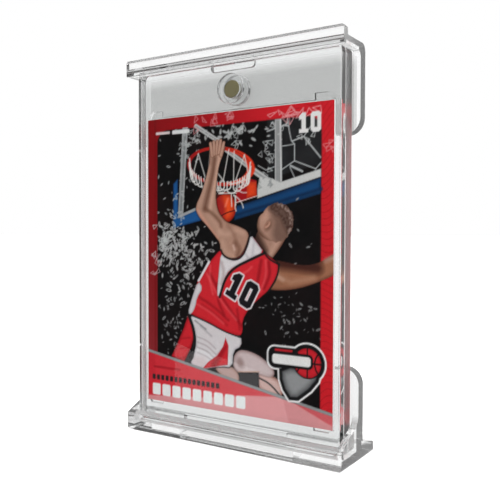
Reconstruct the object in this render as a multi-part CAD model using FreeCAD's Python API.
import FreeCAD, Part
import math
import os

# A trading card in a clear two-shell magnetic holder, standing in a clear two-part display
# stand: a base with a pocket for the holder's bottom edge, and a cap with the same pocket
# over its top edge. All sizes are in millimetres. +Z is up, -Y is the front, and the origin
# is the centre of the base's footprint, on its underside.

os.makedirs("parts", exist_ok=True)

# Trading card
card_width = 63.5
card_height = 88.9
card_thickness = 0.5

# Card cavity in the back shell
card_side_play = 0.3        # left and right of the card
card_top_play = 0.5         # the card stands on the cavity's lower edge
card_face_play = 0.2        # air in front of the card and behind it
relief_width = 5.0          # finger-nail reliefs beside the cavity's corners
relief_top_height = 1.9
relief_bottom_height = 0.9
relief_bevel = 1.2
relief_inset = 1.0          # from the cavity's side to the relief

# Holder shells
side_border = 2.75          # from the card's edge to the holder's side
bottom_border = 6.6         # from the card's lower edge to the holder's bottom
top_border = 14.7           # from the card's upper edge to the holder's top
cover_thickness = 3.0
shell_thickness = 4.5
holder_corner_radius = 2.0
holder_edge_bevel = 0.4
seam_bevel = 0.2

# Thumb notch in the top of both shells, at the seam
notch_width = 15.0
notch_height = 2.9
notch_depth = 0.8
notch_radius = 1.2

# Magnets and the clear plugs that close their pockets
magnet_diameter = 5.1
magnet_thickness = 1.4
magnet_play = 0.05
magnet_setback = 0.05       # front magnet's face below the seam
magnet_rise = 6.3           # magnet centre above the card's upper edge
plug_diameter = 8.7
plug_play = 0.04
rear_plug_thickness = 2.2

# Tongue on the cover that hooks into a slot in the back shell
tongue_width = 35.0
tongue_reach = 1.5
tongue_bottom = 0.9         # above the holder's bottom edge
tongue_height = 1.2
slot_play = 0.2
slot_swing_room = 1.5       # headroom over the tongue while the cover swings

# Display stand
side_play = 0.2             # holder to end wall, each side
end_wall = 1.8
front_play = 0.3            # holder to the base's front wall
cap_front_play = 0.4        # holder to the cap's front wall
rear_play = 0.7             # holder to both rear plates
front_wall = 2.8
plate_thickness = 3.3
plate_corner_radius = 4.6
stand_edge_radius = 0.25
stand_corner_radius = 0.8

# Base
base_floor = 2.7
base_wall_rise = 2.7        # front wall above the pocket's floor
base_lead_in = 0.8          # how far the front wall's inner face leans outwards
base_plate_rise = 22.8      # rear plate above the pocket's floor
end_wall_rise = 7.8         # where the end walls' sloping edge would meet the rear plate
end_wall_blend = 3.5
foot_depth = 8.1            # behind the rear plate
foot_front_height = 4.9
foot_rear_height = 3.1
foot_blend = 0.8
relief_under_width = 39.0   # shallow relief in the underside, below the rear plate
relief_under_front = 2.0    # ahead of the rear plate's front face
relief_under_back = 7.8     # behind it
relief_under_height = 1.4

# Cap
cap_ceiling = 1.2           # over the holder's top edge
cap_overlap = 1.3           # walls below the holder's top edge
cap_plate_drop = 23.4       # rear plate below the holder's top edge
cap_back_radius = 2.2
cap_inner_radius = 1.6
rail_height = 2.4
rail_thickness = 2.5
rail_radius = 1.1

# Worked-out sizes
holder_width = card_width + 2 * side_border
holder_height = bottom_border + card_height + top_border
holder_thickness = cover_thickness + shell_thickness
front_plug_thickness = cover_thickness - magnet_thickness - magnet_play - magnet_setback
stand_width = holder_width + 2 * (side_play + end_wall)
base_depth = front_wall + front_play + holder_thickness + rear_play + plate_thickness + foot_depth

stand_front = -base_depth / 2
base_back = base_depth / 2
holder_front = stand_front + front_wall + front_play
seam = holder_front + cover_thickness
holder_back = seam + shell_thickness
plate_front = holder_back + rear_play
plate_back = plate_front + plate_thickness

holder_bottom = base_floor
holder_top = holder_bottom + holder_height
card_bottom = holder_bottom + bottom_border
card_top = card_bottom + card_height
magnet_centre = card_top + magnet_rise
wall_top = holder_bottom + base_wall_rise
cap_skirt = holder_top - cap_overlap
cap_top = holder_top + cap_ceiling
rail_top = cap_top + rail_height


def vector_along(axis, along, a, b):
    """A point from its place along the named axis and its two other coordinates, in order."""
    if axis == "x":
        return FreeCAD.Vector(along, a, b)
    return FreeCAD.Vector(a, along, b)


def prism(axis, start, end, corners):
    """A closed outline of (a, b, radius) corners, drawn across the axis and pulled along it."""
    points = [vector_along(axis, start, a, b) for a, b, _ in corners]
    edges = []
    starts = []
    ends = []
    for i, (a, b, radius) in enumerate(corners):
        corner = points[i]
        if radius == 0:
            starts.append(corner)
            ends.append(corner)
            continue
        to_last = (points[i - 1] - corner).normalize()
        to_next = (points[(i + 1) % len(points)] - corner).normalize()
        half_angle = to_last.getAngle(to_next) / 2
        tangent = radius / math.tan(half_angle)
        bisector = (to_last + to_next).normalize()
        middle = corner + bisector * (radius / math.sin(half_angle) - radius)
        first = corner + to_last * tangent
        last = corner + to_next * tangent
        edges.append(Part.Arc(first, middle, last).toShape())
        starts.append(first)
        ends.append(last)
    for i in range(len(points)):
        following = starts[(i + 1) % len(points)]
        if ends[i].distanceToPoint(following) > 1e-6:
            edges.append(Part.LineSegment(ends[i], following).toShape())
    wire = Part.Wire(Part.__sortEdges__(edges))
    pull = vector_along(axis, end - start, 0, 0)
    return Part.Face(wire).extrude(pull)


def box(x0, x1, y0, y1, z0, z1):
    """A block between two corners."""
    return Part.makeBox(x1 - x0, y1 - y0, z1 - z0, FreeCAD.Vector(x0, y0, z0))


def disc(diameter, y0, y1):
    """A round slug on the magnets' axis, from one depth to another."""
    centre = FreeCAD.Vector(0, y0, magnet_centre)
    return Part.makeCylinder(diameter / 2, y1 - y0, centre, FreeCAD.Vector(0, 1, 0))


def plate_outline(width, bottom, top, bottom_radius, top_radius):
    """Front-view rectangle about the middle, with one radius below and one above."""
    half = width / 2
    return [(-half, bottom, bottom_radius), (half, bottom, bottom_radius),
            (half, top, top_radius), (-half, top, top_radius)]


def edges_at(solid, depth):
    """The solid's edges that lie whole in the upright plane at this depth."""
    return [edge for edge in solid.Edges
            if abs(edge.BoundBox.YMin - depth) < 1e-4 and abs(edge.BoundBox.YMax - depth) < 1e-4]


def holder_slab(front, back):
    """A slice of the holder's rounded outline."""
    outline = plate_outline(holder_width, holder_bottom, holder_top,
                            holder_corner_radius, holder_corner_radius)
    return prism("y", front, back, outline)


def thumb_notch(front, back):
    """The notch cut into a shell's top edge."""
    outline = plate_outline(notch_width, holder_top - notch_height, holder_top + notch_height,
                            notch_radius, 0)
    return prism("y", front, back, outline)


def make_front_cover():
    """Clear front shell: magnet bore and plug recess, thumb notch, and the hooking tongue."""
    cover = holder_slab(holder_front, seam)
    cover = cover.makeChamfer(holder_edge_bevel, edges_at(cover, holder_front))
    cover = cover.makeChamfer(seam_bevel, edges_at(cover, seam))
    cover = cover.cut(disc(plug_diameter + 2 * plug_play, holder_front,
                           holder_front + front_plug_thickness))
    cover = cover.cut(disc(magnet_diameter + 2 * magnet_play, holder_front, seam))
    cover = cover.cut(thumb_notch(seam - notch_depth, seam))
    tongue_base = holder_bottom + tongue_bottom
    tongue = box(-tongue_width / 2, tongue_width / 2, seam - seam_bevel, seam + tongue_reach,
                 tongue_base, tongue_base + tongue_height)
    return cover.fuse(tongue).removeSplitter()


def card_cavity():
    """Space for the card, with a small relief beside each of its four corners."""
    half = card_width / 2 + card_side_play
    depth = seam + card_thickness + 2 * card_face_play
    top = card_top + card_top_play
    cavity = box(-half, half, seam, depth, card_bottom, top)
    for side in (-1, 1):
        outer = side * (half - relief_inset)
        inner = side * (half - relief_inset - relief_width)
        for edge, height in ((top, relief_top_height), (card_bottom, -relief_bottom_height)):
            bevel = relief_bevel * abs(height) / relief_top_height
            outline = [(outer, edge, 0), (inner, edge, 0), (inner, edge + height, 0),
                       (outer - side * bevel, edge + height, 0)]
            cavity = cavity.fuse(prism("y", seam, depth, outline))
    return cavity


def make_back_shell():
    """Clear rear shell: card cavity, rear magnet pocket and plug recess, and tongue slot."""
    shell = holder_slab(seam, holder_back)
    shell = shell.makeChamfer(holder_edge_bevel, edges_at(shell, holder_back))
    shell = shell.makeChamfer(seam_bevel, edges_at(shell, seam))
    shell = shell.cut(card_cavity())
    shell = shell.cut(thumb_notch(seam, seam + notch_depth))
    plug_face = holder_back - rear_plug_thickness
    shell = shell.cut(disc(plug_diameter + 2 * plug_play, plug_face, holder_back))
    shell = shell.cut(disc(magnet_diameter + 2 * magnet_play,
                           plug_face - magnet_thickness - magnet_play, plug_face))
    slot_bottom = holder_bottom + tongue_bottom - slot_play
    slot_top = holder_bottom + tongue_bottom + tongue_height + slot_swing_room
    half_slot = tongue_width / 2 + slot_play
    return shell.cut(box(-half_slot, half_slot, seam, seam + tongue_reach + slot_play,
                         slot_bottom, slot_top))


def make_card():
    """The printed card, standing on the cavity's lower edge."""
    front = seam + card_face_play
    return box(-card_width / 2, card_width / 2, front, front + card_thickness, card_bottom, card_top)


def make_base_stand():
    """Clear base: pocket with low front wall, sloping end walls, rear plate and rear foot."""
    side = [(stand_front, 0, stand_edge_radius),
            (stand_front, wall_top, stand_edge_radius),
            (plate_front, holder_bottom + end_wall_rise, end_wall_blend),
            (plate_front, holder_bottom + base_plate_rise, stand_edge_radius),
            (plate_back, holder_bottom + base_plate_rise, stand_edge_radius),
            (plate_back, foot_front_height, foot_blend),
            (base_back, foot_rear_height, stand_corner_radius),
            (base_back, 0, stand_edge_radius)]
    half = stand_width / 2
    body = prism("x", -half, half, side)
    outline = plate_outline(stand_width, 0, holder_bottom + base_plate_rise,
                            stand_corner_radius, plate_corner_radius)
    body = body.common(prism("y", stand_front, base_back, outline))
    inner = holder_front - front_play
    rim = inner - base_lead_in
    lead = base_lead_in / base_wall_rise
    above = holder_bottom + base_plate_rise
    pocket_side = [(inner, holder_bottom, 0), (plate_front, holder_bottom, 0),
                   (plate_front, above, 0), (rim - lead * (above - wall_top), above, 0)]
    half_pocket = holder_width / 2 + side_play
    body = body.cut(prism("x", -half_pocket, half_pocket, pocket_side))
    relief = box(-relief_under_width / 2, relief_under_width / 2,
                 plate_front - relief_under_front, plate_front + relief_under_back,
                 0, relief_under_height)
    return body.cut(relief)


def make_top_cap():
    """Clear cap: shallow pocket over the holder's top edge, front rail and hanging rear plate."""
    half = stand_width / 2
    plate_end = holder_top - cap_plate_drop
    rail_back = stand_front + rail_thickness
    side = [(stand_front, cap_skirt, stand_edge_radius),
            (stand_front, rail_top, stand_edge_radius),
            (rail_back, rail_top, rail_radius),
            (rail_back, cap_top, stand_edge_radius),
            (plate_back, cap_top, cap_back_radius),
            (plate_back, plate_end, stand_edge_radius),
            (plate_front, plate_end, stand_edge_radius),
            (plate_front, cap_skirt, cap_inner_radius)]
    body = prism("x", -half, half, side)
    outline = plate_outline(stand_width, plate_end, rail_top,
                            plate_corner_radius, stand_corner_radius)
    body = body.common(prism("y", stand_front, plate_back, outline))
    half_pocket = holder_width / 2 + side_play
    return body.cut(box(-half_pocket, half_pocket, holder_front - cap_front_play, plate_front,
                        plate_end, holder_top))


front_magnet_start = holder_front + front_plug_thickness + magnet_play
rear_plug_start = holder_back - rear_plug_thickness

parts = {
    "base_stand": make_base_stand(),
    "top_cap": make_top_cap(),
    "front_cover": make_front_cover(),
    "back_shell": make_back_shell(),
    "trading_card": make_card(),
    "front_magnet": disc(magnet_diameter, front_magnet_start, front_magnet_start + magnet_thickness),
    "rear_magnet": disc(magnet_diameter, rear_plug_start - magnet_thickness, rear_plug_start),
    "front_magnet_plug": disc(plug_diameter, holder_front, holder_front + front_plug_thickness),
    "rear_magnet_plug": disc(plug_diameter, rear_plug_start, holder_back),
}

for name, shape in parts.items():
    bounds = shape.BoundBox
    print(f"{name:18s} solids {len(shape.Solids)} valid {shape.isValid()} volume {shape.Volume:9.1f}"
          f"  x {bounds.XMin:7.2f} {bounds.XMax:7.2f}  y {bounds.YMin:7.2f} {bounds.YMax:7.2f}"
          f"  z {bounds.ZMin:7.2f} {bounds.ZMax:7.2f}")
    shape.exportStep(f"parts/{name}.step")
